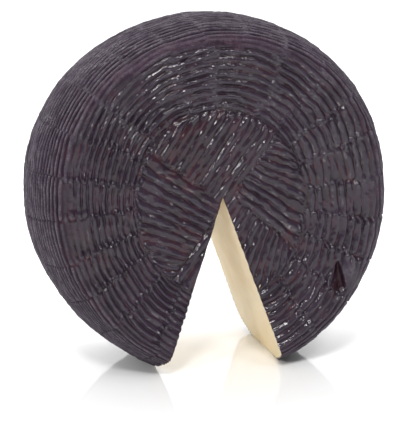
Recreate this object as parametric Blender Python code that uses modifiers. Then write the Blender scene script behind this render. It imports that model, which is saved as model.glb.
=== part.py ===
"""A wheel of basket-pressed cheese with one wedge cut out of it, in metres, +Z up.

The wheel stands on its rim, as it does in a shop display: its axis lies along Y, its front face looks
towards -Y, and the cut points straight down, so that the wheel rests on the two corners of the cut.
The whole cheese is one solid. Its rind carries the print of the basket: a cross of straight reeds in the
middle of each face, rings of short ridges woven round 22 stakes, and finer rings round the rim.
Angles round the axis are measured clockwise from the top, as seen from the front.
"""

import math

import bmesh
import bpy
from mathutils import Matrix, Vector

# The turned body
WHEEL_RADIUS = 0.150
WHEEL_THICKNESS = 0.122
FACE_RADIUS = 0.127
SHOULDER_RADIUS = 0.0100
FACE_DISH = 0.0020

# How it is out of round: (number of lobes, their height as a share of the radius, place of one lobe)
ROUNDNESS_ERRORS = ((2, 0.0120, math.radians(-38)), (3, 0.0125, math.radians(47.6)))

# The cut, whose tip lies a little past the axis, and the flat spots on the two corners that it leaves
CUT_ANGLE = math.radians(41)
CUT_TIP = (-0.0028, 0.0075)
CUTTER_REACH = 1.3
FLATTENED = 0.0018
AXIS_HEIGHT = WHEEL_RADIUS * math.cos(CUT_ANGLE / 2) - FLATTENED

# The woven rings: neighbouring gaps between stakes hold ridges that are half a pitch apart
STAKES = 22
FIRST_STAKE = math.radians(-99.7)
STAKE_WIDTH = 0.36
CROWDING = 0.16
CROWDED_SIDE = math.radians(-38.7)
CROSS_RADIUS = 0.075
FACE_RINGS = 9
SHOULDER_ROWS = 4
RIM_RINGS = 25

# Towards the cross the rings are oval, and their middle is off the axis
RING_OFFSET = -0.0037
RING_OVAL = 0.0029
OVAL_SIDE = math.radians(-10)

FACE_RIDGE = 0.0019
SHOULDER_RIDGE = 0.0007
RIM_RIDGE = 0.0013

# The cross of reeds: the reeds of each quarter run along the line that ends it
CROSS_MIDDLE = (-0.0020, 0.0020)
CROSS_LINES = [math.radians(angle) for angle in (32.5, 127.0, 212.0, 303.5)]
REED_PITCH = 0.0060
REED_FAN = math.radians(2.2)
GROOVE_WIDTH = 0.0042
GROOVE_DEPTH = 0.0018
GROOVE_GAP = 0.0020
SHORTEST_GROOVE = 0.006

# A dent low on the right of the front face
DENT_ANGLE = math.radians(122.9)
DENT_DISTANCE = 0.1159
DENT_LEAN = math.radians(30)
DENT_WIDTH = 0.011
DENT_DEPTH = 0.0035
DENT_LENGTH = 0.027

AXIS = Vector((0, 1, 0))
CENTRE = Vector((0, 0, AXIS_HEIGHT))

# The profile is a flat face, a rounded shoulder and a crowned rim that meet without a corner
CROWN_RISE = WHEEL_RADIUS - FACE_RADIUS - SHOULDER_RADIUS
HALF_RIM = WHEEL_THICKNESS / 2 - SHOULDER_RADIUS
CROWN_SLOPE = 2 * math.atan(CROWN_RISE / HALF_RIM)
CROWN_RADIUS = HALF_RIM / math.sin(CROWN_SLOPE) + SHOULDER_RADIUS
SHOULDER_LENGTH = SHOULDER_RADIUS * (math.pi / 2 - CROWN_SLOPE)
RIM_START = FACE_RADIUS + SHOULDER_LENGTH
RIM_LENGTH = CROWN_RADIUS * CROWN_SLOPE


def clear_scene():
    for old in list(bpy.data.objects):
        bpy.data.objects.remove(old, do_unlink=True)


def new_collection(name):
    made = bpy.data.collections.new(name)
    bpy.context.scene.collection.children.link(made)
    return made


def add_object(name, bm, collection):
    mesh = bpy.data.meshes.new(name)
    bm.to_mesh(mesh)
    bm.free()
    obj = bpy.data.objects.new(name, mesh)
    collection.objects.link(obj)
    return obj


def direction(angle):
    """The unit vector across the axis at an angle clockwise from the top."""
    return Vector((math.sin(angle), 0, math.cos(angle)))


def roundness(turn):
    """The radius at an angle round the axis, as a share of the mean radius."""
    return 1 + sum(error * math.cos(lobes * (turn - lobe)) for lobes, error, lobe in ROUNDNESS_ERRORS)


def stake_turn(fan):
    """Where a stake stands that an even fan would hold at this angle: the stakes crowd towards one side."""
    turn = fan
    for _ in range(6):
        turn = fan - CROWDING * math.sin(turn - CROWDED_SIDE)
    return turn


def profile_point(along):
    """Distance from the axis, place on it and outward normal, at a length along the front's profile."""
    if along <= FACE_RADIUS:
        across_rings = (along - CROSS_RADIUS) / (FACE_RADIUS - CROSS_RADIUS)
        dish = FACE_DISH * (1 + math.cos(math.pi * across_rings)) / 2
        return along, dish - WHEEL_THICKNESS / 2, (0.0, -1.0)
    if along <= RIM_START:
        turn = (along - FACE_RADIUS) / SHOULDER_RADIUS
        distance = FACE_RADIUS + SHOULDER_RADIUS * math.sin(turn)
        place = SHOULDER_RADIUS * (1 - math.cos(turn)) - WHEEL_THICKNESS / 2
        return distance, place, (math.sin(turn), -math.cos(turn))
    slope = (RIM_START + RIM_LENGTH - along) / CROWN_RADIUS
    distance = WHEEL_RADIUS - CROWN_RADIUS * (1 - math.cos(slope))
    return distance, -CROWN_RADIUS * math.sin(slope), (math.cos(slope), -math.sin(slope))


def front_rows():
    """(length along the profile, ridge height) of each row, from the cross of reeds to the rim's crown."""
    ring_step = (FACE_RADIUS - CROSS_RADIUS) / (2 * FACE_RINGS)
    shoulder_step = SHOULDER_LENGTH / SHOULDER_ROWS
    rim_step = RIM_LENGTH / RIM_RINGS
    rows = [(CROSS_RADIUS, 0.0)]
    rows += [(CROSS_RADIUS + ring_step * k, FACE_RIDGE) for k in range(1, 2 * FACE_RINGS)]
    rows += [(FACE_RADIUS + shoulder_step * k, SHOULDER_RIDGE) for k in range(SHOULDER_ROWS)]
    rows += [(RIM_START + rim_step * k, RIM_RIDGE) for k in range(RIM_RINGS + 1)]
    return rows


def wheel_rows():
    """(distance from the axis, place on it, normal, ridge height) of every row, from front to back."""
    front = [(*profile_point(along), ridge) for along, ridge in front_rows()]
    back = [(distance, -y, (out, -along), ridge) for distance, y, (out, along), ridge in front[-2::-1]]
    return front + back


def turn_profile(rows, collection):
    """The profile, turned about the axis by a Screw modifier and made a mesh, open at both faces."""
    bm = bmesh.new()
    row_number = bm.verts.layers.int.new("row")
    chain = []
    for number, (distance, place, _, _) in enumerate(rows):
        vert = bm.verts.new((0, place, distance))
        vert[row_number] = number
        chain.append(vert)
    for pair in zip(chain, chain[1:]):
        bm.edges.new(pair)
    profile = add_object("profile", bm, collection)
    screw = profile.modifiers.new("turn", "SCREW")
    screw.axis = "Y"
    screw.steps = 2 * STAKES
    screw.render_steps = 2 * STAKES
    screw.use_merge_vertices = True
    screw.merge_threshold = 0.00001
    turned = bmesh.new()
    turned.from_object(profile, bpy.context.evaluated_depsgraph_get())
    bpy.data.objects.remove(profile, do_unlink=True)
    return turned


def press_ridges(bm, rows):
    """The two columns of points in each gap between stakes move to its ends, and every second row rises."""
    row_number = bm.verts.layers.int["row"]
    gap_angle = math.tau / STAKES
    for vert in bm.verts:
        distance, place, (out, along), ridge = rows[vert[row_number]]
        column = round(math.atan2(vert.co.x, vert.co.z) % math.tau / gap_angle * 2)
        gap, end = divmod(column, 2)
        across_gap = 1 - STAKE_WIDTH / 2 if end else STAKE_WIDTH / 2
        turn = stake_turn(FIRST_STAKE + gap_angle * (gap + across_gap))
        height = ridge / 2 if (vert[row_number] + gap) % 2 else -ridge / 2
        inside = max(0, FACE_RADIUS - distance) / (FACE_RADIUS - CROSS_RADIUS)
        oval = RING_OVAL * inside * math.cos(2 * (turn - OVAL_SIDE))
        vert.co = direction(turn) * (distance * roundness(turn) + oval + height * out)
        vert.co += AXIS * (place + height * along)
        vert.co.x += RING_OFFSET * inside


def make_wheel(collection):
    rows = wheel_rows()
    bm = turn_profile(rows, collection)
    press_ridges(bm, rows)
    bmesh.ops.holes_fill(bm, edges=[edge for edge in bm.edges if edge.is_boundary], sides=0)
    bmesh.ops.translate(bm, verts=bm.verts, vec=CENTRE)
    bmesh.ops.recalc_face_normals(bm, faces=bm.faces)
    return add_object("cheese_wheel", bm, collection)


def groove_ends(quarter, number):
    """The two ends of a groove between reeds, from the middle of the cross."""
    line = CROSS_LINES[quarter]
    opening = (line - CROSS_LINES[quarter - 1]) % math.tau
    offset = REED_PITCH * (number + 0.5)
    run = direction(line - REED_FAN * number)
    start = direction(CROSS_LINES[quarter - 1]) * (offset / math.sin(opening)) + run * GROOVE_GAP
    limit = CROSS_RADIUS - RING_OVAL - GROOVE_GAP
    room = limit**2 - start.length_squared + start.dot(run) ** 2
    if room < 0:
        return start, start
    return start, start + run * (math.sqrt(room) - start.dot(run))


def add_groove(bm, start, end, out):
    """A three-sided bar with one edge inwards, from the lip of the groove above the face to its bottom."""
    run = end - start
    across = run.cross(out).normalized() * GROOVE_WIDTH
    lip = out * GROOVE_DEPTH
    section = [bm.verts.new(start + step) for step in (lip - across, lip + across, -lip)]
    side = bm.faces.new(section)
    pushed = bmesh.ops.extrude_face_region(bm, geom=[side])["geom"]
    bmesh.ops.translate(bm, verts=[item for item in pushed if isinstance(item, bmesh.types.BMVert)], vec=run)


def groove_cutters(collection):
    """All the grooves of both crosses, as one cutter of separate bars."""
    bm = bmesh.new()
    for out in (-AXIS, AXIS):
        middle = CENTRE + Vector((CROSS_MIDDLE[0], 0, CROSS_MIDDLE[1]))
        middle += out * (WHEEL_THICKNESS / 2 - FACE_DISH)
        for quarter in range(len(CROSS_LINES)):
            for number in range(int(CROSS_RADIUS / REED_PITCH)):
                start, end = groove_ends(quarter, number)
                if (end - start).length > SHORTEST_GROOVE:
                    add_groove(bm, middle + start, middle + end, out)
    bmesh.ops.recalc_face_normals(bm, faces=bm.faces)
    return add_object("groove_cutters", bm, collection)


def dent_cutter(collection):
    """A long narrow hollow pressed into the last rings of the front face."""
    bm = bmesh.new()
    middle = CENTRE + direction(DENT_ANGLE) * DENT_DISTANCE - AXIS * (WHEEL_THICKNESS / 2)
    place = Matrix.Translation(middle) @ Matrix.Rotation(DENT_ANGLE + DENT_LEAN, 4, "Y")
    size = Matrix.Diagonal((DENT_WIDTH / 2, DENT_DEPTH, DENT_LENGTH / 2, 1))
    bmesh.ops.create_uvsphere(bm, u_segments=8, v_segments=6, radius=1, matrix=place @ size)
    return add_object("dent_cutter", bm, collection)


def wedge_cutter(collection):
    """A wedge from the cut's tip, whose sides pass through two points of the rim and reach past them."""
    tip = Vector((CUT_TIP[0], 0, CUT_TIP[1]))
    bm = bmesh.new()
    corners = [tip]
    for turn in (math.pi + CUT_ANGLE / 2, math.pi - CUT_ANGLE / 2):
        corners.append(tip + (direction(turn) * WHEEL_RADIUS - tip) * CUTTER_REACH)
    side = bm.faces.new([bm.verts.new(corner) for corner in corners])
    pushed = bmesh.ops.extrude_face_region(bm, geom=[side])["geom"]
    moved = [item for item in pushed if isinstance(item, bmesh.types.BMVert)]
    bmesh.ops.translate(bm, verts=moved, vec=AXIS * 2 * WHEEL_THICKNESS)
    bmesh.ops.translate(bm, verts=bm.verts, vec=CENTRE - AXIS * WHEEL_THICKNESS)
    bmesh.ops.recalc_face_normals(bm, faces=bm.faces)
    return add_object("wedge_cutter", bm, collection)


def floor_cutter(collection):
    """A slab below the floor, which flattens the two corners that carry the wheel."""
    side = 4 * WHEEL_RADIUS
    bm = bmesh.new()
    bmesh.ops.create_cube(bm, size=side, matrix=Matrix.Translation((0, 0, -side / 2)))
    return add_object("floor_cutter", bm, collection)


def cut(obj, cutter):
    modifier = obj.modifiers.new(cutter.name, "BOOLEAN")
    modifier.operation = "DIFFERENCE"
    modifier.solver = "EXACT"
    modifier.object = cutter
    cutter.hide_render = True
    cutter.display_type = "WIRE"


def rind_material():
    made = bpy.data.materials.new("dark aubergine rind")
    made.use_nodes = True
    shader = made.node_tree.nodes["Principled BSDF"]
    shader.inputs["Base Color"].default_value = (0.047, 0.034, 0.046, 1)
    shader.inputs["Roughness"].default_value = 0.4
    shader.inputs["Metallic"].default_value = 0.0
    return made


def build():
    clear_scene()
    whole = new_collection("cheese wheel")
    cutters = new_collection("cutters")
    wheel = make_wheel(whole)
    wheel.data.materials.append(rind_material())
    for cutter in (groove_cutters, dent_cutter, wedge_cutter, floor_cutter):
        cut(wheel, cutter(cutters))


build()
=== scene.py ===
# %% [markdown]
# # A cheese wheel pressed in a basket
# The subject is a whole hard cheese, about 30 cm across, that stands on its rim with one wedge cut out.
# Its curd was pressed in a woven basket, so every reed of the basket left its print in the soft rind.
# The rind was then rubbed with a dark, glossy, aubergine-coloured coat. The cut faces show the cream paste.
#
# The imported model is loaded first. It gives the room that the wheel fills and the body that it rides on.

# %% Load the frame
import math

import bmesh
import bpy
import numpy as np
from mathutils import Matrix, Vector


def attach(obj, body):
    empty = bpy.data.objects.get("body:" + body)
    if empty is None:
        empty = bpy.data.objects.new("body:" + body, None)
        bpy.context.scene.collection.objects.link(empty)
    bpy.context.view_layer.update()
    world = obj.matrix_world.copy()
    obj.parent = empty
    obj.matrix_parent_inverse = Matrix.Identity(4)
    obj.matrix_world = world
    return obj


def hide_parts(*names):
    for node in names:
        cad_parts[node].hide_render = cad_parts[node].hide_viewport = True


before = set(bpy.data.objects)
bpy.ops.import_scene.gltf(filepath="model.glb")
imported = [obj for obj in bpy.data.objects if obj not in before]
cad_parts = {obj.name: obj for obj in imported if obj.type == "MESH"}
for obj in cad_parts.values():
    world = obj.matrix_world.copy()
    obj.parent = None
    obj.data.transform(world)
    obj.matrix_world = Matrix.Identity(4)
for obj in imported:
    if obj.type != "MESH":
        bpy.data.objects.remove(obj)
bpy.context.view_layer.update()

# %% [markdown]
# ## Measures
# A wheel is described by few numbers: its radius, its thickness, how round its shoulder is and how much its
# rim bulges. Angles round the axis are measured clockwise from the top, as seen from the front. A pressed
# cheese is never quite round, so the radius swells by a percent in two lobes and in three. The knife went
# a little past the axis, so the tip of the cut lies up to the left of it.

# %% Measures of the wheel
MM = 0.001
WHEEL_RADIUS = 150 * MM
WHEEL_THICKNESS = 122 * MM
FACE_RADIUS = 127 * MM
CROSS_RADIUS = 75 * MM
SHOULDER_RADIUS = 10 * MM
FACE_DISH = 2.0 * MM
ROUNDNESS_ERRORS = ((2, 0.0120, math.radians(-38)), (3, 0.0125, math.radians(47.6)))
CUT_ANGLE = math.radians(41)
CUT_TIP = (-2.8 * MM, 7.5 * MM)
FLATTENED = 1.8 * MM
AXIS_HEIGHT = WHEEL_RADIUS * math.cos(CUT_ANGLE / 2) - FLATTENED

CROWN_RISE = WHEEL_RADIUS - FACE_RADIUS - SHOULDER_RADIUS
HALF_RIM = WHEEL_THICKNESS / 2 - SHOULDER_RADIUS
CROWN_SLOPE = 2 * math.atan(CROWN_RISE / HALF_RIM)
CROWN_RADIUS = HALF_RIM / math.sin(CROWN_SLOPE) + SHOULDER_RADIUS
RIM_START = FACE_RADIUS + SHOULDER_RADIUS * (math.pi / 2 - CROWN_SLOPE)
CROWN_MIDDLE = RIM_START + CROWN_RADIUS * CROWN_SLOPE
print("profile from the face's centre to the rim's crown:", round(CROWN_MIDDLE / MM, 1), "mm")

# %% [markdown]
# ## The smooth wheel
# Before it has any print, the wheel is a turned shape: a flat face, a rounded shoulder and a crowned rim.
# Every point of its skin has two coordinates: `along`, the length along the profile from the middle of the
# front face, and `turn`, the angle round the axis. One function turns them into a place and a direction
# that points out of the cheese, so that the print can later be pushed in or out along it. The middle of the
# faces is drawn towards the tip of the cut, less and less towards the rim, which keeps the cut faces flat.

# %% Profile and skin
def smooth_step(low, high, value):
    """0 below low, 1 above high, and a soft S between them."""
    share = np.clip((value - low) / (high - low), 0, 1)
    return share * share * (3 - 2 * share)


def roundness(turn):
    """The radius at an angle round the axis, as a share of the mean radius."""
    return 1 + sum(error * np.cos(lobes * (turn - lobe)) for lobes, error, lobe in ROUNDNESS_ERRORS)


def profile(along):
    """Distance from the axis, place on it, and the outward direction's two parts."""
    behind = along > CROWN_MIDDLE
    along = np.where(behind, 2 * CROWN_MIDDLE - along, along)
    across_rings = np.clip((along - CROSS_RADIUS) / (FACE_RADIUS - CROSS_RADIUS), 0, 1)
    dish = FACE_DISH * (1 + np.cos(math.pi * across_rings)) / 2
    bend = np.clip(along - FACE_RADIUS, 0, RIM_START - FACE_RADIUS) / SHOULDER_RADIUS
    slope = (CROWN_MIDDLE - np.clip(along, RIM_START, CROWN_MIDDLE)) / CROWN_RADIUS
    on_rim = along > RIM_START
    distance = np.where(
        on_rim,
        WHEEL_RADIUS - CROWN_RADIUS * (1 - np.cos(slope)),
        np.minimum(along, FACE_RADIUS) + SHOULDER_RADIUS * np.sin(bend),
    )
    place = np.where(
        on_rim,
        -CROWN_RADIUS * np.sin(slope),
        dish + SHOULDER_RADIUS * (1 - np.cos(bend)) - WHEEL_THICKNESS / 2,
    )
    outward = np.where(on_rim, np.cos(slope), np.sin(bend))
    sideways = np.where(on_rim, -np.sin(slope), -np.cos(bend))
    side = np.where(behind, -1, 1)
    return distance, place * side, outward, sideways * side


def skin(along, turn, height):
    """Places on the wheel's skin, raised by a height along the outward direction, as an array of x, y, z."""
    distance, place, outward, sideways = profile(along)
    radius = distance * roundness(turn) + height * outward
    to_tip = np.clip(1 - radius / (WHEEL_RADIUS * roundness(turn)), 0, 1)
    x = radius * np.sin(turn) + CUT_TIP[0] * to_tip
    z = radius * np.cos(turn) + CUT_TIP[1] * to_tip
    return np.stack([x, place + height * sideways, z + AXIS_HEIGHT], axis=-1)


print("the rim starts", round(RIM_START / MM, 1), "mm from the face's centre, along the profile")

# %% [markdown]
# ## Unevenness
# Nothing on a cheese is exact. Smooth random heights on a coarse grid of points, blended between the points,
# give soft lumps of any size. The same grid is used for every piece, so the lumps run on across the seams.

# %% Soft lumps
GRID_SIDE = 64
GRID_SHIFT = 5.37
LUMP_GRID = np.random.default_rng(7).uniform(-1, 1, (GRID_SIDE, GRID_SIDE, GRID_SIDE))


def lumps(points, size, shift=0):
    """Smooth random heights from -1 to 1 that change over the given size."""
    cell = points / size + GRID_SIDE / 2 + GRID_SHIFT * shift
    base = np.floor(cell).astype(int)
    share = cell - base
    share = share * share * (3 - 2 * share)
    height = np.zeros(points.shape[:-1])
    for corner in np.ndindex(2, 2, 2):
        weight = np.prod(np.where(corner, share, 1 - share), axis=-1)
        i, j, k = np.moveaxis((base + corner) % GRID_SIDE, -1, 0)
        height += weight * LUMP_GRID[i, j, k]
    return height


print("lumps blend", LUMP_GRID.size, "random heights")

# %% [markdown]
# ## The print of the woven rings
# Round the middle of a basket, thin reeds are woven in rings between 24 stakes, which crowd a little on one
# side. Each reed shows only between two stakes and then dives behind the next, so the prints are short
# ridges laid like bricks, with a knuckle where each begins. At the top the weave was loose and neighbouring
# ridges nearly meet. Two sets of ridges, each ending at its stakes, are laid over each other, and the higher
# one wins. That is how the tips of neighbouring ridges come to interlock.

# %% Woven rings
STAKES = 24
STAKE_BEFORE_TOP = 6.367
CROWDING = 0.059
CROWDED_SIDE = math.radians(-40)
LOOSE_SIDE = math.radians(0)
LOOSE_WIDTH = math.radians(48)
TILT_SIDE = math.radians(-15)
RIDGE_TILT = 0.5
RIDGE_LEAN = 1.12
RIDGE_BOW = 0.10
RIDGE_REACH = 0.53
TIGHT_SHORTER = 0.06
TIGHT_RAGGED, LOOSE_RAGGED = 0.5, 1.4
TIGHT_STAGGER, LOOSE_STAGGER = 0.50, 0.12
LANE_JITTER = 0.12
END_LENGTH = 0.11
LOOSE_STRETCH = 1.2
KNUCKLE = 0.85
KNUCKLE_PLACE, KNUCKLE_LENGTH = 0.05, 0.06
RING_CREST, RIM_CREST = 1.9, 1.5
RIM_IN_LINE = 0.7
RIM_STEADY = 0.6
RANDOM_ROWS = 97
PRINT_CHANCE = np.random.default_rng(11)
RIDGE_STRENGTH = PRINT_CHANCE.uniform(0.50, 1.10, (RANDOM_ROWS, STAKES))
RIDGE_SHIFT = PRINT_CHANCE.uniform(-0.15, 0.15, (RANDOM_ROWS, STAKES))


def stake_column(turn):
    """How many stakes have gone by at an angle round the axis."""
    return STAKE_BEFORE_TOP + STAKES / math.tau * (turn + CROWDING * np.sin(turn - CROWDED_SIDE))


EVEN_TURNS = np.linspace(-math.pi, math.pi, 721)
GAP_NUMBERS = np.arange(STAKES)
GAPS_BEFORE_TOP = int(STAKE_BEFORE_TOP)
GAP_COLUMNS = (GAP_NUMBERS + GAPS_BEFORE_TOP) % STAKES - GAPS_BEFORE_TOP + 0.5
GAP_MIDDLES = np.interp(GAP_COLUMNS, stake_column(EVEN_TURNS), EVEN_TURNS)
TIGHTNESS = 1 - np.exp(-(((GAP_MIDDLES - LOOSE_SIDE) / LOOSE_WIDTH) ** 2))
GAP_TILT = -RIDGE_TILT * np.sin(2 * (GAP_MIDDLES - TILT_SIDE))
STAGGER = LOOSE_STAGGER + (TIGHT_STAGGER - LOOSE_STAGGER) * TIGHTNESS
LANE_SHIFT = PRINT_CHANCE.uniform(-LANE_JITTER, LANE_JITTER, STAKES) + GAP_NUMBERS % 2 * STAGGER
print("the middles of the gaps lie at", np.sort(np.degrees(GAP_MIDDLES)).round(0), "degrees")

# %% [markdown]
# ## One weave of short ridges
# A ridge is a rounded hump across its lane, and fades out at both ends of its gap. The rim's ridges are
# steadier than the face's: they stay in line past a stake, and have no knuckles.

# %% Short ridges
def ridges(lane, crest):
    """Rounded ridges from 0 to 1, one for each whole number of lanes, with narrow grooves between."""
    return 1 - np.abs(2 * (lane % 1) ** RIDGE_LEAN - 1) ** crest


def woven(row, column, outer, on_rim):
    """Heights from 0 in a groove to about 1 on a crest of the short ridges, and the lane that shows."""
    crest = RING_CREST + (RIM_CREST - RING_CREST) * on_rim
    height = np.zeros_like(row)
    shown_lane = row
    for odd in (0, 1):
        gap = 2 * np.round((column - 0.5 - odd) / 2) + odd
        off_middle = column - 0.5 - gap
        gap = gap.astype(int) % STAKES
        tight = TIGHTNESS[gap]
        lane = row + LANE_SHIFT[gap] * (1 - RIM_IN_LINE * on_rim) - GAP_TILT[gap] * outer * off_middle
        lane = lane - RIDGE_BOW * tight * (1 - 4 * off_middle**2)
        number = np.floor(lane).astype(int) % len(RIDGE_STRENGTH)
        ragged = LOOSE_RAGGED + (TIGHT_RAGGED - LOOSE_RAGGED) * tight
        shift = RIDGE_SHIFT[number, gap] * ragged * (1 - on_rim)
        reach = RIDGE_REACH - TIGHT_SHORTER * tight + shift
        end_length = END_LENGTH * (1 + LOOSE_STRETCH * (1 - tight)) * (1 - 0.5 * on_rim)
        end = 1 - smooth_step(0, 1, (np.abs(off_middle) - reach) / end_length)
        knuckle = np.exp(-(((off_middle + reach - KNUCKLE_PLACE) / KNUCKLE_LENGTH) ** 2))
        knuckle = 1 + KNUCKLE * tight * (1 - on_rim) * knuckle
        strength = RIDGE_STRENGTH[number, gap] * (1 - RIM_STEADY * on_rim) + RIM_STEADY * on_rim
        ridge = end * knuckle * strength * ridges(lane, crest)
        shown_lane = np.where(ridge > height, lane, shown_lane)
        height = np.maximum(height, ridge)
    return height, shown_lane


print("two sets of ridges, each in every other one of", STAKES, "gaps")

# %% [markdown]
# ## The print of the cross
# In the middle of each face the basket starts from four bundles of straight reeds that lie in a pinwheel.
# The reeds of each quarter run side by side along the line that ends the quarter, and spread a little.
# Each quarter is worked out in its own two directions, and again the highest ridge wins. The reeds are
# soft and a little knobbly, so each ridge swells and sinks along its length like a row of worn beads.

# %% Cross of reeds
CROSS_LINES = [math.radians(angle) for angle in (37.2, 130.0, 218.0, 307.7)]
CROSS_OFFSETS = [1.5 * MM, 9.5 * MM, -0.5 * MM, 2.0 * MM]
REED_PITCH = 5.6 * MM
REED_SPREADS = [1.0, 8.0, 8.0, 8.0]
REED_HEIGHTS = [0.8, 1.0, 1.0, 1.0]
REED_OVERRUN = 20 * MM
REED_CREST = 2.0
START_RAGGED = 9 * MM
BEAD_LENGTH = 6 * MM
BEAD_MEAN, BEAD_SWELL, BEAD_WEAR = 0.76, 0.42, 0.06
LANE_APART = 2.6


def cross_reeds(x, z, unevenness):
    """Heights from 0 to about 1 of the straight reeds, the lane that shows and the length along it."""
    height = np.zeros_like(x)
    shown_lane = x / REED_PITCH
    shown_run = z
    for quarter, line in enumerate(CROSS_LINES):
        before = CROSS_LINES[quarter - 1]
        run = x * math.sin(line) + z * math.cos(line)
        across = z * math.sin(line) - x * math.cos(line) - CROSS_OFFSETS[quarter]
        inside = x * math.cos(before) - z * math.sin(before) + CROSS_OFFSETS[quarter - 1]
        lane = across / (REED_PITCH * (1 + REED_SPREADS[quarter] * np.clip(run, -0.01, 1)))
        number = np.floor(lane).astype(int) % len(RIDGE_STRENGTH)
        knots = np.stack([LANE_APART * number + 0 * run, run / BEAD_LENGTH, 0 * run + quarter], axis=-1)
        beads = BEAD_MEAN + BEAD_SWELL * lumps(knots, 1.0, 11) + BEAD_WEAR * unevenness
        start = smooth_step(0.2 * MM, 2.2 * MM, inside + START_RAGGED * RIDGE_SHIFT[number, quarter])
        reed = start * (lane >= 0) * (run > -REED_OVERRUN) * beads * ridges(lane, REED_CREST)
        reed = reed * RIDGE_STRENGTH[number, quarter] * REED_HEIGHTS[quarter]
        shown_lane = np.where(reed > height, lane, shown_lane)
        shown_run = np.where(reed > height, run, shown_run)
        height = np.maximum(height, reed)
    return height, shown_lane, shown_run


print("reeds of the cross lie", round(REED_PITCH / MM, 1), "mm apart where they start")

# %% [markdown]
# ## A dent, a lump and a pinch
# Low on the right of the front face, something pressed into the soft rind. It left a slanted hollow with one
# sharp edge, a smooth swelling beside it, and a small pinch with wrinkles that run out from it like a star.
# The hollow's height is worked out from the distance to its sharp edge, and falls away gently to the left of
# it. The other two heights are worked out from the distance to their middles.

# %% Marks on the front
DENT_EDGE = (98.3 * MM, -62.5 * MM)
DENT_SLANT = math.radians(165.5)
DENT_HALF_LENGTH = 13 * MM
DENT_WIDTHS = (4.0 * MM, 15.0 * MM)
DENT_DEPTH = 4.0 * MM
LUMP_MIDDLE = (104.0 * MM, -56.5 * MM)
LUMP_RISE = 3.6 * MM
LUMP_SIZE = (5.5 * MM, 11 * MM)
LUMP_WRINKLE = 0.7 * MM
PINCH_MIDDLE = (91.5 * MM, -73.5 * MM)
PINCH_RISE = 2.2 * MM
PINCH_SIZE = 4.2 * MM
PINCH_WRINKLES = 7
SMOOTHED_MIDDLE = (103 * MM, -66 * MM)
SMOOTHED_SIZE = 17 * MM
LEAST_PRINT = 0.12


def marks(x, z, front):
    """Height of the marks, how much of the print they leave, and the hollow's and the lump's shares."""
    right, up = x - DENT_EDGE[0], z - DENT_EDGE[1]
    down_slant = (right * math.sin(DENT_SLANT) + up * math.cos(DENT_SLANT)) / DENT_HALF_LENGTH
    left_of_edge = right * math.cos(DENT_SLANT) - up * math.sin(DENT_SLANT)
    width = np.interp(down_slant, (-1, 1), DENT_WIDTHS)
    from_edge = left_of_edge / width
    hollow = smooth_step(-0.14, 0.10, from_edge) * (1 - smooth_step(0.15, 1.15, from_edge))
    hollow = hollow * (1 - smooth_step(0.7, 1.15, np.abs(down_slant)))
    lump_x, lump_z = (x - LUMP_MIDDLE[0]) / LUMP_SIZE[0], (z - LUMP_MIDDLE[1]) / LUMP_SIZE[1]
    lump = np.exp(-(lump_x**2 + lump_z**2))
    from_pinch = np.hypot(x - PINCH_MIDDLE[0], z - PINCH_MIDDLE[1])
    star = np.arctan2(z - PINCH_MIDDLE[1], x - PINCH_MIDDLE[0])
    wrinkles = 0.5 + 0.5 * np.cos(PINCH_WRINKLES * star + 1.3 * np.sin(2 * star))
    pinch = np.exp(-((from_pinch / PINCH_SIZE) ** 2)) * (0.35 + 0.65 * wrinkles)
    height = LUMP_RISE * lump + PINCH_RISE * pinch - DENT_DEPTH * hollow
    from_smoothed = np.hypot(x - SMOOTHED_MIDDLE[0], z - SMOOTHED_MIDDLE[1])
    outside = smooth_step(0.6 * SMOOTHED_SIZE, SMOOTHED_SIZE, from_smoothed)
    print_left = np.where(front, LEAST_PRINT + (1 - LEAST_PRINT) * outside, 1.0)
    return height * front, print_left, hollow * front, lump * front


print("the hollow is", round(2 * DENT_HALF_LENGTH / MM), "mm long and", round(DENT_DEPTH / MM, 1), "mm deep")

# %% [markdown]
# ## Where the rings run
# The rings of the weave have a middle of their own, a little off the wheel's axis, and are slightly oval.
# They are spaced wider on one side of the face, and finer over the rim. Rows of weave are counted outwards
# from the cross. On the back they are counted from another number, so that it gets other random ridges.

# %% Rows of rings
FACE_PITCH = 5.9 * MM
PITCH_DRIFT = 0.55 * MM
WIDE_SIDE = math.radians(120)
PITCH_OVAL = 0.4 * MM
RIM_PITCH = 4.25 * MM
RIM_DRIFT = 0.40 * MM
RIM_ROWS_START = 126 * MM
RING_OFFSET = -3.7 * MM
RING_OVAL = 2.9 * MM
OVAL_SIDE = math.radians(-10)
BACK_LANES = 40.25


def ring_length(turn, distance, inward):
    """Distance from the rings' own middle, which runs on as length along the profile past the face."""
    inside = np.clip((FACE_RADIUS - distance) / (FACE_RADIUS - CROSS_RADIUS), 0, 1)
    to_tip = inside * (1 - distance / WHEEL_RADIUS)
    x = distance * np.sin(turn) + CUT_TIP[0] * to_tip - RING_OFFSET * inside
    z = distance * np.cos(turn) + CUT_TIP[1] * to_tip
    oval = RING_OVAL * inside * np.cos(2 * (turn - OVAL_SIDE))
    return np.where(inward < FACE_RADIUS, np.hypot(x, z) - oval, inward)


def ring_row(turn, ring, wobble, behind):
    """How many rows of weave have gone by on the way out from the cross."""
    pitch = FACE_PITCH + PITCH_DRIFT * np.cos(turn - WIDE_SIDE) + PITCH_OVAL * np.cos(2 * turn)
    row = (np.minimum(ring, RIM_ROWS_START) - CROSS_RADIUS) / pitch
    row = row + np.maximum(ring - RIM_ROWS_START, 0) / (RIM_PITCH + RIM_DRIFT * np.cos(turn))
    row = row + wobble / FACE_PITCH
    return np.where(behind, row + BACK_LANES, row)


print("a face has about", round((FACE_RADIUS - CROSS_RADIUS) / FACE_PITCH), "rows of weave")

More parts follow.
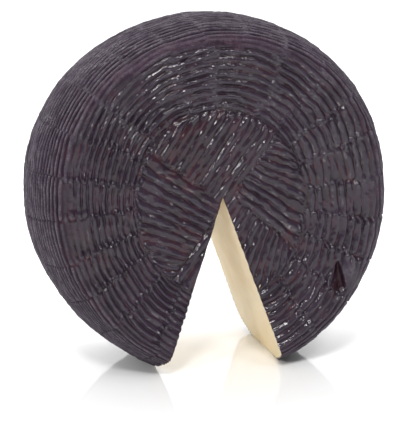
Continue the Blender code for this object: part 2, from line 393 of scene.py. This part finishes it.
# %% [markdown]
# ## How deep and how worn the print is
# The basket pressed deepest into the face and least over the shoulder. In patches the ridges are worn down.
# At the upper left of the front a wandering band along the shoulder is nearly bare, and the back has the
# same band on its own shoulder.

# %% Depth and wear
FACE_RIDGE = 3.2 * MM
SHOULDER_RIDGE = 2.0 * MM
RIM_RIDGE = 3.0 * MM
SHOULDER_FROM, SHOULDER_TO = 120 * MM, 129 * MM
RIM_FROM, RIM_TO = 134 * MM, 145 * MM
MOST_WORN = 0.35
SCUFF_MEAN, SCUFF_SWING = 0.84, 0.24
RIM_KEPT = 0.7
BARE_PLACE = 132 * MM
BARE_WANDER = 4 * MM
BARE_WIDTH = 5.5 * MM
BARE_SIDE = math.radians(-18)
BARE_FLATNESS = 0.6
BARE_SMOOTHNESS = 0.55


def bareness(base, turn, inward):
    """1 in the middle of the bare band and 0 away from it."""
    bare_place = BARE_PLACE + BARE_WANDER * lumps(base, 15 * MM, 12)
    bare = np.exp(-(((inward - bare_place) / BARE_WIDTH) ** 2))
    return bare * smooth_step(0.75, 0.97, np.cos(turn - BARE_SIDE))


def print_depth(base, inward, on_rim, bare):
    """Height from the grooves to the crests."""
    depth = FACE_RIDGE + (SHOULDER_RIDGE - FACE_RIDGE) * smooth_step(SHOULDER_FROM, SHOULDER_TO, inward)
    depth = depth + (RIM_RIDGE - SHOULDER_RIDGE) * smooth_step(RIM_FROM, RIM_TO, inward)
    worn = 1 - MOST_WORN * smooth_step(0.2, 0.7, lumps(base, 17 * MM, 2))
    worn = worn * (SCUFF_MEAN + SCUFF_SWING * lumps(base, 6 * MM, 5))
    worn = (worn + RIM_KEPT * on_rim * (1 - worn)) * (1 - BARE_FLATNESS * bare)
    return depth * worn


print("print depth:", round(FACE_RIDGE / MM, 1), "mm on the face,", round(RIM_RIDGE / MM, 1), "on the rim")

# %% [markdown]
# ## Where the cross ends
# The reeds of the cross end in blunt tips at the first ring, with a ragged groove between. Besides its
# height, every point gets a lane across the ridges and a run along them, which the fibres will follow.

# %% Cross and rings joined
CROSS_GAP = 1.0 * MM
CROSS_RAGGED = 0.8 * MM
CROSS_GROOVE = 1.4 * MM
CROSS_FLOOR = 0.3
REED_END = 2.4 * MM
GAP_LENGTH = 28 * MM


def joined_ridges(reeds, reed_lane, reed_run, rings, ring_lane, ring_run, past_cross):
    """The share of the full height, the lane and the run, of the reeds inside and of the rings outside."""
    in_cross = past_cross < 0
    reeds = reeds * smooth_step(0.0, REED_END, -past_cross)
    reeds = reeds * (1 + KNUCKLE * np.exp(-(((past_cross + 1.4 * REED_END) / (0.7 * REED_END)) ** 2)))
    reeds = np.maximum(reeds, CROSS_FLOOR * (past_cross > -REED_END))
    rings = rings * (CROSS_FLOOR + (1 - CROSS_FLOOR) * smooth_step(0.0, CROSS_GROOVE, past_cross))
    lane = np.where(in_cross, reed_lane * REED_PITCH, ring_lane * FACE_PITCH)
    return np.where(in_cross, reeds, rings), lane, np.where(in_cross, reed_run, ring_run)


print("the cross ends", round(CROSS_RADIUS / MM), "mm from the middle of the rings")

# %% [markdown]
# ## The whole print
# Now everything is put together. The places are shifted by soft lumps before the ridges are worked out, so
# that no ridge runs true. At the top a shallow trough runs round the cross, and fine streaks along every
# ridge are the fibres of its reed. Besides the height, six fields are kept for the coat's finish.

# %% Print of the basket
WOBBLE, FINE_WOBBLE = 1.1 * MM, 0.75 * MM
STAKE_WANDER = 0.1
UNEVENNESS = ((0.70 * MM, 38 * MM, 3), (0.30 * MM, 8 * MM, 4), (0.12 * MM, 2.6 * MM, 7))
STREAK = 0.42 * MM
STREAK_WIDTH = 1.6 * MM
STREAK_STRETCH = 3.5
TROUGH = 2.6 * MM
TROUGH_WIDTH = 6.5 * MM
DEEPEST = 6.0 * MM
SMOOTH_SHARE = 0.55
LUMP_SHARE = 0.9


def basket_print(along, turn):
    """Height of the print above the smooth wheel, and what the coat's finish needs to know about it."""
    behind = along > CROWN_MIDDLE
    inward = np.where(behind, 2 * CROWN_MIDDLE - along, along)
    front = ~behind & (inward < RIM_START)
    distance, _, _, _ = profile(along)
    base = skin(along, turn, 0.0)
    x, z = base[..., 0], base[..., 2] - AXIS_HEIGHT
    on_rim = smooth_step(FACE_RADIUS, RIM_START, inward)
    wobble = WOBBLE * lumps(base, 26 * MM) + FINE_WOBBLE * lumps(base, 9 * MM, 1) * (1 - 0.5 * on_rim)
    knots = lumps(base, 12 * MM, 6)

    ring = ring_length(turn, distance, inward)
    column = stake_column(turn) + STAKE_WANDER * lumps(base, 40 * MM, 9)
    outer = 0.3 + 0.7 * smooth_step(CROSS_RADIUS, FACE_RADIUS, distance)
    rings, ring_lane = woven(ring_row(turn, ring, wobble, behind), column, outer, on_rim)
    reeds, reed_lane, reed_run = cross_reeds(x + wobble, z + wobble, knots)
    past_cross = ring - CROSS_RADIUS + CROSS_GAP + CROSS_RAGGED * knots
    share, lane, run = joined_ridges(
        reeds, reed_lane, reed_run, rings, ring_lane, column * GAP_LENGTH, past_cross
    )

    marked, print_left, hollow, lump = marks(x, z, front)
    bare = bareness(base, turn, inward)
    height = print_depth(base, inward, on_rim, bare) * print_left * (share - 0.5) + marked
    for rise, size, shift in UNEVENNESS:
        height = height + rise * lumps(base, size, shift)
    height = height + LUMP_WRINKLE * lump * lumps(base, 4 * MM, 13)
    fibre = np.stack([lane, run / STREAK_STRETCH, 0 * run], axis=-1)
    height = height + STREAK * lumps(fibre, STREAK_WIDTH, 10) * (0.3 + 0.7 * print_left)
    trough = np.exp(-(((past_cross - 2 * MM) / TROUGH_WIDTH) ** 2)) * smooth_step(0.1, 0.8, np.cos(turn))
    height = np.maximum(height - np.where(behind, 0.0, TROUGH * trough), -DEEPEST)

    relief = SMOOTH_SHARE + (share - SMOOTH_SHARE) * print_left * (1 - BARE_SMOOTHNESS * bare)
    # The relief is set to 0 in the hollow, so it takes the dark groove colour there as painted shade.
    relief = (relief + (LUMP_SHARE - relief) * lump) * (1 - hollow)
    # The lump's raised relief and its share in the rim field paint it lighter, partly dusty bloom and partly
    # painted sheen.
    fields = {"relief": relief, "lane": lane, "run": run, "bare": bare, "hollow": hollow, "rim": 0.9 * lump}
    return height, fields


sample, _ = basket_print(np.linspace(0, CROWN_MIDDLE, 300), np.full(300, math.radians(45)))
print("print along one line:", round(sample.min() / MM, 1), "to", round(sample.max() / MM, 1), "mm")

# %% [markdown]
# ## Grids that become skin
# Each piece starts as a flat grid from `create_grid`, and numpy moves all its points at once to places that
# were worked out column by column. Turning a profile with spin would give the same shape, but takes minutes
# at this fineness. Rows that end where they began are welded, so every piece is a closed shell. The edges
# between what shows and what is folded inwards are sharp, or the shading would smear round them.

# %% From grid to closed piece
WELD_DISTANCE = 0.002 * MM


def closed_piece(name, places, fields, caps):
    """A closed piece from places[column, row] and point fields. Caps fill its first and last column."""
    columns, rows = places.shape[:2]
    places[..., 2] = np.maximum(places[..., 2], 0)
    bm = bmesh.new()
    bmesh.ops.create_grid(bm, x_segments=rows - 1, y_segments=columns - 1, size=0.5)
    mesh = bpy.data.meshes.new(name)
    bm.to_mesh(mesh)
    mesh.vertices.foreach_set("co", places.ravel())
    for label, values in fields.items():
        mesh.attributes.new(label, "FLOAT", "POINT").data.foreach_set("value", values.ravel())
    bm.clear()
    bm.from_mesh(mesh)
    bm.verts.ensure_lookup_table()
    for first in (0, rows * (columns - 1)) if caps else ():
        bm.faces.new(bm.verts[first : first + rows - 1])
    bmesh.ops.remove_doubles(bm, verts=bm.verts, dist=WELD_DISTANCE)
    bmesh.ops.recalc_face_normals(bm, faces=bm.faces)
    folded = bm.verts.layers.float["folded"]
    for face in bm.faces:
        face.smooth = True
        if any(vert[folded] for vert in face.verts):
            for edge in face.edges:
                edge.smooth = False
    bm.to_mesh(mesh)
    bm.free()
    piece = bpy.data.objects.new(name, mesh)
    bpy.context.scene.collection.objects.link(piece)
    print(name, len(mesh.polygons), "faces")
    return piece


# %% [markdown]
# ## The rind
# A fine print needs a fine mesh, so the rind is made in bands: on each side one for the cross, one for the
# woven rings and one for half the rim. The outer bands are longer, so they get more columns. Each band's
# edges are folded a few millimetres into the cheese, like a thick peel, and its ends at the cut are filled.

# %% Bands of rind
CUT_START = -math.pi + CUT_ANGLE / 2
CUT_END = math.pi - CUT_ANGLE / 2
SHELL = 8.0 * MM
SHOULDER_SEAM = 134 * MM
BAND_ENDS = (("cross", 0.0, CROSS_RADIUS, 480), ("rings", CROSS_RADIUS, SHOULDER_SEAM, 860),
             ("rim", SHOULDER_SEAM, CROWN_MIDDLE, 860))
ROW_STEP = 0.62 * MM
DULL_FROM, DULL_TO = 122 * MM, 136 * MM


def rind_band(name, start, stop, columns):
    """A closed band of printed rind between two lengths along the profile."""
    rows = np.linspace(start, stop, round((stop - start) / ROW_STEP) + 1)
    lengths = np.concatenate([[start], rows, [stop, start]])
    folded = np.concatenate([[1.0], np.zeros(len(rows)), [1.0, 1.0]])
    turns = np.linspace(CUT_START, CUT_END, columns + 1)
    turn, along = np.meshgrid(turns, lengths, indexing="ij")
    height, fields = basket_print(along, turn)
    height = np.where(folded > 0, -SHELL, height)
    rim = smooth_step(DULL_FROM, DULL_TO, np.minimum(along, 2 * CROWN_MIDDLE - along))
    fields["rim"] = np.maximum(fields["rim"], rim)
    fields["folded"] = folded + np.zeros_like(height)
    return closed_piece(name, skin(along, turn, height), fields, caps=True)


rind = []
for side in ("front", "back"):
    for band, start, stop, columns in BAND_ENDS:
        if side == "back":
            start, stop = 2 * CROWN_MIDDLE - stop, 2 * CROWN_MIDDLE - start
        rind.append(rind_band(f"rind_{side}_{band}", start, stop, columns))

# %% [markdown]
# ## The paste
# Under the rind the cheese is one block of cream paste. It lies deep inside the peel everywhere except at
# the two cut faces, where it comes out to just under the coat, so that the coat shows there as a thin dark
# line that follows every ridge. Each cut face is the same outline drawn smaller and smaller towards its
# middle, which gives the face enough points for the soft waves that a knife leaves.

# %% Outline of the paste
COAT = 0.8 * MM
PASTE_DEPTH = 6.5 * MM
SECTION_MIDDLE = 78 * MM
PASTE_ROWS, FACE_STEPS, ROUND_STEPS, AXIS_STEPS = 400, 29, 25, 50
CROWDED_OUTWARDS = 1.6

rows = np.linspace(0, 2 * CROWN_MIDDLE, PASTE_ROWS)
insets = np.linspace(0, 1, FACE_STEPS) ** CROWDED_OUTWARDS
turns = np.linspace(CUT_START, CUT_END, ROUND_STEPS)
column_turns = np.concatenate([np.full(len(insets), CUT_START), turns[1:-1], np.full(len(insets), CUT_END)])
column_insets = np.concatenate([insets[::-1], np.zeros(len(turns) - 2), insets])
within = np.concatenate([np.zeros(len(insets)), np.ones(len(turns) - 2), np.zeros(len(insets))])
turn, along = np.meshgrid(column_turns, rows, indexing="ij")
height, _ = basket_print(along, turn)
pole = (along == rows[0]) | (along == rows[-1])
outline = skin(along, turn, np.where(within[:, None] * ~pole > 0, -PASTE_DEPTH, height - COAT))
back_to_front = np.linspace(0, 1, AXIS_STEPS)[None, 1:, None]
axis_rows = outline[:, -1:] * (1 - back_to_front) + outline[:, :1] * back_to_front
outline = np.concatenate([outline, axis_rows], axis=1)
middle = skin(np.full(len(column_turns), SECTION_MIDDLE), column_turns, 0.0)
middle[:, 1] = 0
places = outline + (middle[:, None] - outline) * column_insets[:, None, None]
print("paste outline of", places.shape[1], "points in", places.shape[0], "columns")

# %% [markdown]
# ## The knife's waves
# A long knife never cuts quite flat. The middle of each cut face swells and sinks by half a millimetre. Near
# the rind it stays flat and a hair proud of the folded peel. At the very tip of the cut that fades too.

# %% Block of paste
PASTE_PROUD = 0.15 * MM
KNIFE_WAVE = 0.5 * MM
from_axis = np.hypot(places[..., 0], places[..., 2] - AXIS_HEIGHT)
under_rim = WHEEL_RADIUS * roundness(column_turns)[:, None] - from_axis
under_rind = np.minimum(under_rim, WHEEL_THICKNESS / 2 - np.abs(places[..., 1]))
from_tip = np.hypot(places[..., 0] - CUT_TIP[0], places[..., 2] - AXIS_HEIGHT - CUT_TIP[1])
wave = KNIFE_WAVE * smooth_step(SHELL + 3 * MM, SHELL + 16 * MM, under_rind) * lumps(places, 22 * MM, 8)
wave = wave * smooth_step(SHELL, SHELL + 12 * MM, from_tip)
outwards = np.sign(column_turns)[:, None] * (PASTE_PROUD + wave) * (1 - within[:, None])
outwards = outwards * smooth_step(0, 2 * MM, from_tip)
places[..., 0] += outwards * np.cos(column_turns)[:, None]
places[..., 2] -= outwards * np.sin(column_turns)[:, None]
fields = {"under_rind": under_rind / MM, "folded": within[:, None] + np.zeros_like(from_tip)}
paste = closed_piece("paste", places, fields, caps=False)

# %% [markdown]
# ## Helpers for finishes
# A finish is a small network of nodes. Two helpers keep it short: one sets a node's inputs to values or
# joins them to other nodes' outputs, and one adds a node and sets it up in a single call. The others give a
# plain name to each kind of node that the finishes use again and again.

# %% Node helpers
def set_inputs(node, inputs):
    for name, value in inputs.items():
        if isinstance(value, bpy.types.NodeSocket):
            node.id_data.links.new(value, node.inputs[name])
        else:
            node.inputs[name].default_value = value


def add_node(owner, kind, inputs, **settings):
    """A new node in a material or world, with its settings and inputs."""
    node = owner.node_tree.nodes.new(kind)
    for name, value in settings.items():
        setattr(node, name, value)
    set_inputs(node, inputs)
    return node


def new_material(name):
    made = bpy.data.materials.new(name)
    made.use_nodes = True
    return made, made.node_tree.nodes["Principled BSDF"]


def object_place(material):
    return add_node(material, "ShaderNodeTexCoord", {}).outputs["Object"]


def field(material, name):
    return add_node(material, "ShaderNodeAttribute", {}, attribute_name=name).outputs["Fac"]


def noise(material, place, size, detail=2.0, rough=0.5):
    """Noise from 0 to 1 that changes over the given size."""
    inputs = {"Vector": place, "Scale": 1 / size, "Detail": detail, "Roughness": rough}
    return add_node(material, "ShaderNodeTexNoise", inputs).outputs["Fac"]


def rescale(material, value, low, high, to_low=0.0, to_high=1.0):
    inputs = {"Value": value, "From Min": low, "From Max": high, "To Min": to_low, "To Max": to_high}
    return add_node(material, "ShaderNodeMapRange", inputs).outputs["Result"]


def multiply(material, first, second):
    return add_node(material, "ShaderNodeMath", {0: first, 1: second}, operation="MULTIPLY").outputs[0]


def blend_colours(material, share, first, second):
    """The first colour where share is 0 and the second where it is 1."""
    return add_node(material, "ShaderNodeMix", {0: share, 6: first, 7: second}, data_type="RGBA").outputs[2]


print("node helpers ready")

# %% [markdown]
# ## The coat on the rind
# The rind is rubbed with a nearly black, aubergine-coloured coat. It lies thick and reddish in the grooves,
# thin and greyer on the crests, and the grooves are painted darker still as painted shade. The crests of
# the shoulder and rim, and the lump, are painted a light violet grey, partly dusty bloom and partly painted
# sheen, and the hollow is painted dark as painted shade. A clear layer over it gives small sharp highlights,
# and a fine bump breaks them up as the skin of the real coat does.

# %% Colours of the coat
CREST_COLOUR = (0.0245, 0.0158, 0.0300, 1)
# The groove colour is the thick reddish coat, made darker as painted shade in the grooves.
GROOVE_COAT_AND_SHADE_COLOUR = (0.0130, 0.0035, 0.0080, 1)
RED_COLOUR = (0.0450, 0.0090, 0.0165, 1)
VIOLET_COLOUR = (0.0400, 0.0240, 0.0440, 1)
# The light violet grey of the rim's crests is partly dusty bloom and partly a painted sheen.
DUST_AND_SHEEN_COLOUR = (0.1250, 0.1040, 0.1290, 1)
BARE_COLOUR = (0.0800, 0.0480, 0.0700, 1)
# The hollow's colour is painted shade for the deep dent, with the coat's reddish tint.
HOLLOW_SHADE_COLOUR = (0.0180, 0.0055, 0.0095, 1)
SPECK_COLOUR = (0.0080, 0.0050, 0.0090, 1)

coat, shader = new_material("aubergine coat")
place = object_place(coat)
crest = rescale(coat, field(coat, "relief"), 0.10, 0.70)
red_patches = rescale(coat, noise(coat, place, 12 * MM, detail=4.0), 0.46, 0.64)
# Grooves take the darker colour: partly their own thick reddish coat, partly painted shade.
groove = blend_colours(coat, red_patches, GROOVE_COAT_AND_SHADE_COLOUR, RED_COLOUR)
colour = blend_colours(coat, crest, groove, CREST_COLOUR)
violet_patches = rescale(coat, noise(coat, place, 40 * MM, detail=3.0), 0.45, 0.65)
colour = blend_colours(coat, multiply(coat, violet_patches, 0.5), colour, VIOLET_COLOUR)
bare_patches = rescale(coat, noise(coat, place, 6 * MM, detail=3.0), 0.30, 0.65, 0.1, 0.9)
colour = blend_colours(coat, multiply(coat, field(coat, "bare"), bare_patches), colour, BARE_COLOUR)
# Crests of the shoulder, rim and lump are painted lighter: partly dusty bloom, partly painted sheen.
dust_and_sheen_patches = rescale(coat, noise(coat, place, 9 * MM, detail=4.0), 0.32, 0.62, 0.25, 1.0)
dust_and_sheen = multiply(coat, field(coat, "rim"), dust_and_sheen_patches)
crest_line = rescale(coat, field(coat, "relief"), 0.45, 0.90)
colour = blend_colours(coat, multiply(coat, dust_and_sheen, crest_line), colour, DUST_AND_SHEEN_COLOUR)
speckle = rescale(coat, noise(coat, place, 1.3 * MM, detail=2.0), 0.35, 0.65, 0.0, 0.45)
colour = blend_colours(coat, speckle, colour, SPECK_COLOUR)
# The hollow is painted dark as painted shade.
colour = blend_colours(coat, field(coat, "hollow"), colour, HOLLOW_SHADE_COLOUR)
print("coat colour mixed from", len(coat.node_tree.nodes), "nodes")

# %% [markdown]
# ## The coat's gloss
# The gloss is a clear layer over a duller base, which is how wax or varnish on rind behaves. It is thick on
# the face and much thinner on the rim, the bare band and the hollow. Its bump has two parts: fibres along
# the reeds, and the film's own soft waves.

# %% Gloss of the coat
FIBRE_STRETCH = 6.0
FIBRE_WIDTH, FIBRE_BUMP = 1.5 * MM, 0.42 * MM
FILM_WIDTH, FILM_BUMP = 2.6 * MM, 0.32 * MM
BASE_IOR, CLEAR_IOR = 1.20, 1.50
CLEAR_ROUGHNESS = 0.08
RIM_DULLNESS = 0.12

along_fibre = multiply(coat, field(coat, "run"), 1 / FIBRE_STRETCH)
fibre_place = add_node(coat, "ShaderNodeCombineXYZ", {"X": field(coat, "lane"), "Y": along_fibre}).outputs[0]
fibres = noise(coat, fibre_place, FIBRE_WIDTH, detail=1.0)
grain = noise(coat, place, FILM_WIDTH, detail=2.0)
film = add_node(coat, "ShaderNodeBump", {"Height": grain, "Distance": FILM_BUMP})
bump_inputs = {"Height": fibres, "Distance": FIBRE_BUMP, "Normal": film.outputs[0]}
bumps = add_node(coat, "ShaderNodeBump", bump_inputs)
thick_coat = rescale(coat, field(coat, "rim"), 0.0, 1.0, 0.75, 0.12)
thick_coat = multiply(coat, thick_coat, rescale(coat, field(coat, "bare"), 0.0, 0.5, 1.0, 0.15))
thick_coat = multiply(coat, thick_coat, rescale(coat, field(coat, "hollow"), 0.0, 0.7, 1.0, 0.3))
gloss = rescale(coat, noise(coat, place, 7 * MM, detail=3.0), 0.35, 0.65, 0.34, 0.48)
dull = multiply(coat, field(coat, "rim"), RIM_DULLNESS)
set_inputs(shader, {
    "Base Color": colour,
    "Roughness": add_node(coat, "ShaderNodeMath", {0: gloss, 1: dull}, operation="ADD").outputs[0],
    "IOR": BASE_IOR,
    "Normal": bumps.outputs[0],
    "Coat Weight": thick_coat,
    "Coat Roughness": CLEAR_ROUGHNESS,
    "Coat IOR": CLEAR_IOR,
    "Coat Normal": bumps.outputs[0],
})
for piece in rind:
    piece.data.materials.append(coat)
print("coat finished with", len(coat.node_tree.nodes), "nodes on", len(rind), "bands")

# %% [markdown]
# ## The paste's finish
# A cut through a young hard cheese is smooth, matt and creamy, and light goes a little way into it. It is
# yellower where it dried and faintly grainy, and where dye from the coat crept in, the last millimetres
# under the rind are lilac.

# %% Cream paste
CREAM_COLOUR = (0.800, 0.690, 0.490, 1)
DRY_COLOUR = (0.720, 0.590, 0.370, 1)
LILAC_COLOUR = (0.420, 0.320, 0.390, 1)
LIGHT_REACH = (0.006, 0.004, 0.002)

cream, shader = new_material("cream paste")
place = object_place(cream)
dry_patches = rescale(cream, noise(cream, place, 30 * MM, detail=4.0), 0.35, 0.70)
colour = blend_colours(cream, dry_patches, CREAM_COLOUR, DRY_COLOUR)
fringe_noise = noise(cream, place, 5 * MM, detail=3.0)
fringe_depth = rescale(cream, fringe_noise, 0.3, 0.7, 1.4, 4.0)
edge = add_node(cream, "ShaderNodeMath", {0: field(cream, "under_rind"), 1: fringe_depth}, operation="DIVIDE")
fringe = rescale(cream, edge.outputs[0], 0.45, 1.0, 0.85, 0.0)
colour = blend_colours(cream, fringe, colour, LILAC_COLOUR)
grain = noise(cream, place, 2.2 * MM, detail=5.0)
curd = add_node(cream, "ShaderNodeBump", {"Height": grain, "Distance": 0.12 * MM})
set_inputs(shader, {
    "Base Color": colour,
    "Roughness": 0.48,
    "IOR": 1.40,
    "Subsurface Weight": 0.25,
    "Subsurface Radius": LIGHT_REACH,
    "Subsurface Scale": 1.0,
    "Normal": curd.outputs[0],
})
paste.data.materials.append(cream)
print("paste finished with", len(cream.node_tree.nodes), "nodes")

# %% [markdown]
# ## Riding on the frame
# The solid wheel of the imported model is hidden, and the bands of rind and the paste stand in for it. All of
# them ride on the model's only body.

# %% Ride
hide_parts("cheese_wheel")
for piece in rind + [paste]:
    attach(piece, "root")
print(len(rind) + 1, "pieces ride on root")

# %% [markdown]
# ## Floor
# The wheel stands on a smooth white table. A very large plane runs to the horizon, and a low roughness lets
# it mirror the foot of the wheel faintly.

# %% White table
TABLE_HALF_SIDE = 40
TABLE_COLOUR = (0.93, 0.93, 0.93, 1)
POLISH = 0.18
POLISH_ROUGHNESS = 0.08

floor_bm = bmesh.new()
bmesh.ops.create_grid(floor_bm, x_segments=1, y_segments=1, size=TABLE_HALF_SIDE)
floor_mesh = bpy.data.meshes.new("floor")
floor_bm.to_mesh(floor_mesh)
floor_bm.free()
floor = bpy.data.objects.new("floor", floor_mesh)
bpy.context.scene.collection.objects.link(floor)
table, shader = new_material("white table")
matt = add_node(table, "ShaderNodeBsdfDiffuse", {"Color": TABLE_COLOUR})
mirror = add_node(table, "ShaderNodeBsdfGlossy", {"Color": (1, 1, 1, 1), "Roughness": POLISH_ROUGHNESS})
polish = add_node(table, "ShaderNodeMixShader", {0: POLISH, 1: matt.outputs[0], 2: mirror.outputs[0]})
set_inputs(table.node_tree.nodes["Material Output"], {"Surface": polish.outputs[0]})
table.node_tree.nodes.remove(shader)
floor.data.materials.append(table)
print("white table", 2 * TABLE_HALF_SIDE, "m wide")

# %% [markdown]
# ## Light
# The picture has a white surround, brightest behind and above the wheel, and soft lamps high on the left. The
# world shows as white to the camera but is dimmer as a light, or the dark coat would mirror white all over.
# Two sun lamps with wide discs stand in for the soft lamps, so that the table is evenly white to the horizon,
# and a narrow strip lamp above the front draws thin lines of light along the ridges.

# %% White surround
BACKDROP = (0.0, 0.83, 0.56)
DIMMEST, BRIGHTEST = 0.18, 1.75

scene = bpy.context.scene
scene.view_settings.view_transform = "Standard"
world = bpy.data.worlds.new("studio")
scene.world = world
world.use_nodes = True
seen = add_node(world, "ShaderNodeLightPath", {}).outputs["Is Camera Ray"]
outlook = add_node(world, "ShaderNodeTexCoord", {}).outputs["Generated"]
to_backdrop = add_node(world, "ShaderNodeVectorMath", {0: outlook, 1: BACKDROP}, operation="DOT_PRODUCT")
glow = rescale(world, to_backdrop.outputs["Value"], 0.0, 0.7, DIMMEST, BRIGHTEST)
strength = add_node(world, "ShaderNodeMath", {0: seen, 1: glow}, operation="MAXIMUM").outputs[0]
set_inputs(world.node_tree.nodes["Background"], {"Color": (1, 1, 1, 1), "Strength": strength})
print("surround glows from", DIMMEST, "in front to", BRIGHTEST, "behind and above")

# %% [markdown]
# ## Lamps
# Every lamp is aimed at the middle of the wheel. A lamp shines along its own -Z, so the turn that brings -Z
# into the wanted direction is worked out with `to_track_quat`.

# %% Studio lamps
SUN_LAMPS = (("left lamp", 0.95, (-1.15, -0.85, 0.95)), ("high lamp", 1.40, (-0.35, -0.95, 1.45)))
SUN_DISC = math.radians(11)
STRIP_SIDES = (0.45, 0.09)
STRIP_WATTS = 4.0
STRIP_PLACE = (0.42, -0.85, 1.25)

wheel_middle = Vector((0, 0, AXIS_HEIGHT))


def add_lamp(name, light, place):
    lamp = bpy.data.objects.new(name, light)
    lamp.location = place
    lamp.rotation_euler = (wheel_middle - Vector(place)).to_track_quat("-Z", "Y").to_euler()
    scene.collection.objects.link(lamp)


for lamp_name, lamp_strength, lamp_place in SUN_LAMPS:
    sun = bpy.data.lights.new(lamp_name, "SUN")
    sun.energy = lamp_strength
    sun.angle = SUN_DISC
    add_lamp(lamp_name, sun, lamp_place)
strip = bpy.data.lights.new("strip lamp", "AREA")
strip.shape = "RECTANGLE"
strip.size, strip.size_y = STRIP_SIDES
strip.energy = STRIP_WATTS
add_lamp("strip lamp", strip, STRIP_PLACE)
print(len(SUN_LAMPS) + 1, "lamps aimed at the wheel")

# %% [markdown]
# ## Camera
# The camera stands about a metre away, a little to the left of the wheel's axis and a little above it. It is
# aimed so that the wheel's middle falls where the picture has it.

# %% Camera
CAMERA_AZIMUTH = math.radians(-15.5)
CAMERA_ELEVATION = math.radians(10.8)
CAMERA_DISTANCE = 1.0274
FOCAL_PIXELS = 1228
FRAME_SIZE = (412, 441)
WHEEL_CENTRE_PIXEL = (207.0, 193.2)
SENSOR_WIDTH = 36

camera_data = bpy.data.cameras.new("camera")
camera_data.sensor_width = SENSOR_WIDTH
camera_data.lens = SENSOR_WIDTH * FOCAL_PIXELS / max(FRAME_SIZE)
camera = bpy.data.objects.new("camera", camera_data)
back = Vector((
    math.sin(CAMERA_AZIMUTH) * math.cos(CAMERA_ELEVATION),
    -math.cos(CAMERA_AZIMUTH) * math.cos(CAMERA_ELEVATION),
    math.sin(CAMERA_ELEVATION),
))
camera.location = wheel_middle + back * CAMERA_DISTANCE
drop = math.atan((FRAME_SIZE[1] / 2 - WHEEL_CENTRE_PIXEL[1]) / FOCAL_PIXELS)
swing = math.atan((FRAME_SIZE[0] / 2 - WHEEL_CENTRE_PIXEL[0]) / FOCAL_PIXELS)
tilt = math.pi / 2 - CAMERA_ELEVATION - drop
camera.rotation_euler = (tilt, 0, CAMERA_AZIMUTH - swing)
scene.collection.objects.link(camera)
scene.camera = camera
print("camera at", [round(v, 3) for v in camera.location], "with a lens of", round(camera_data.lens), "mm")
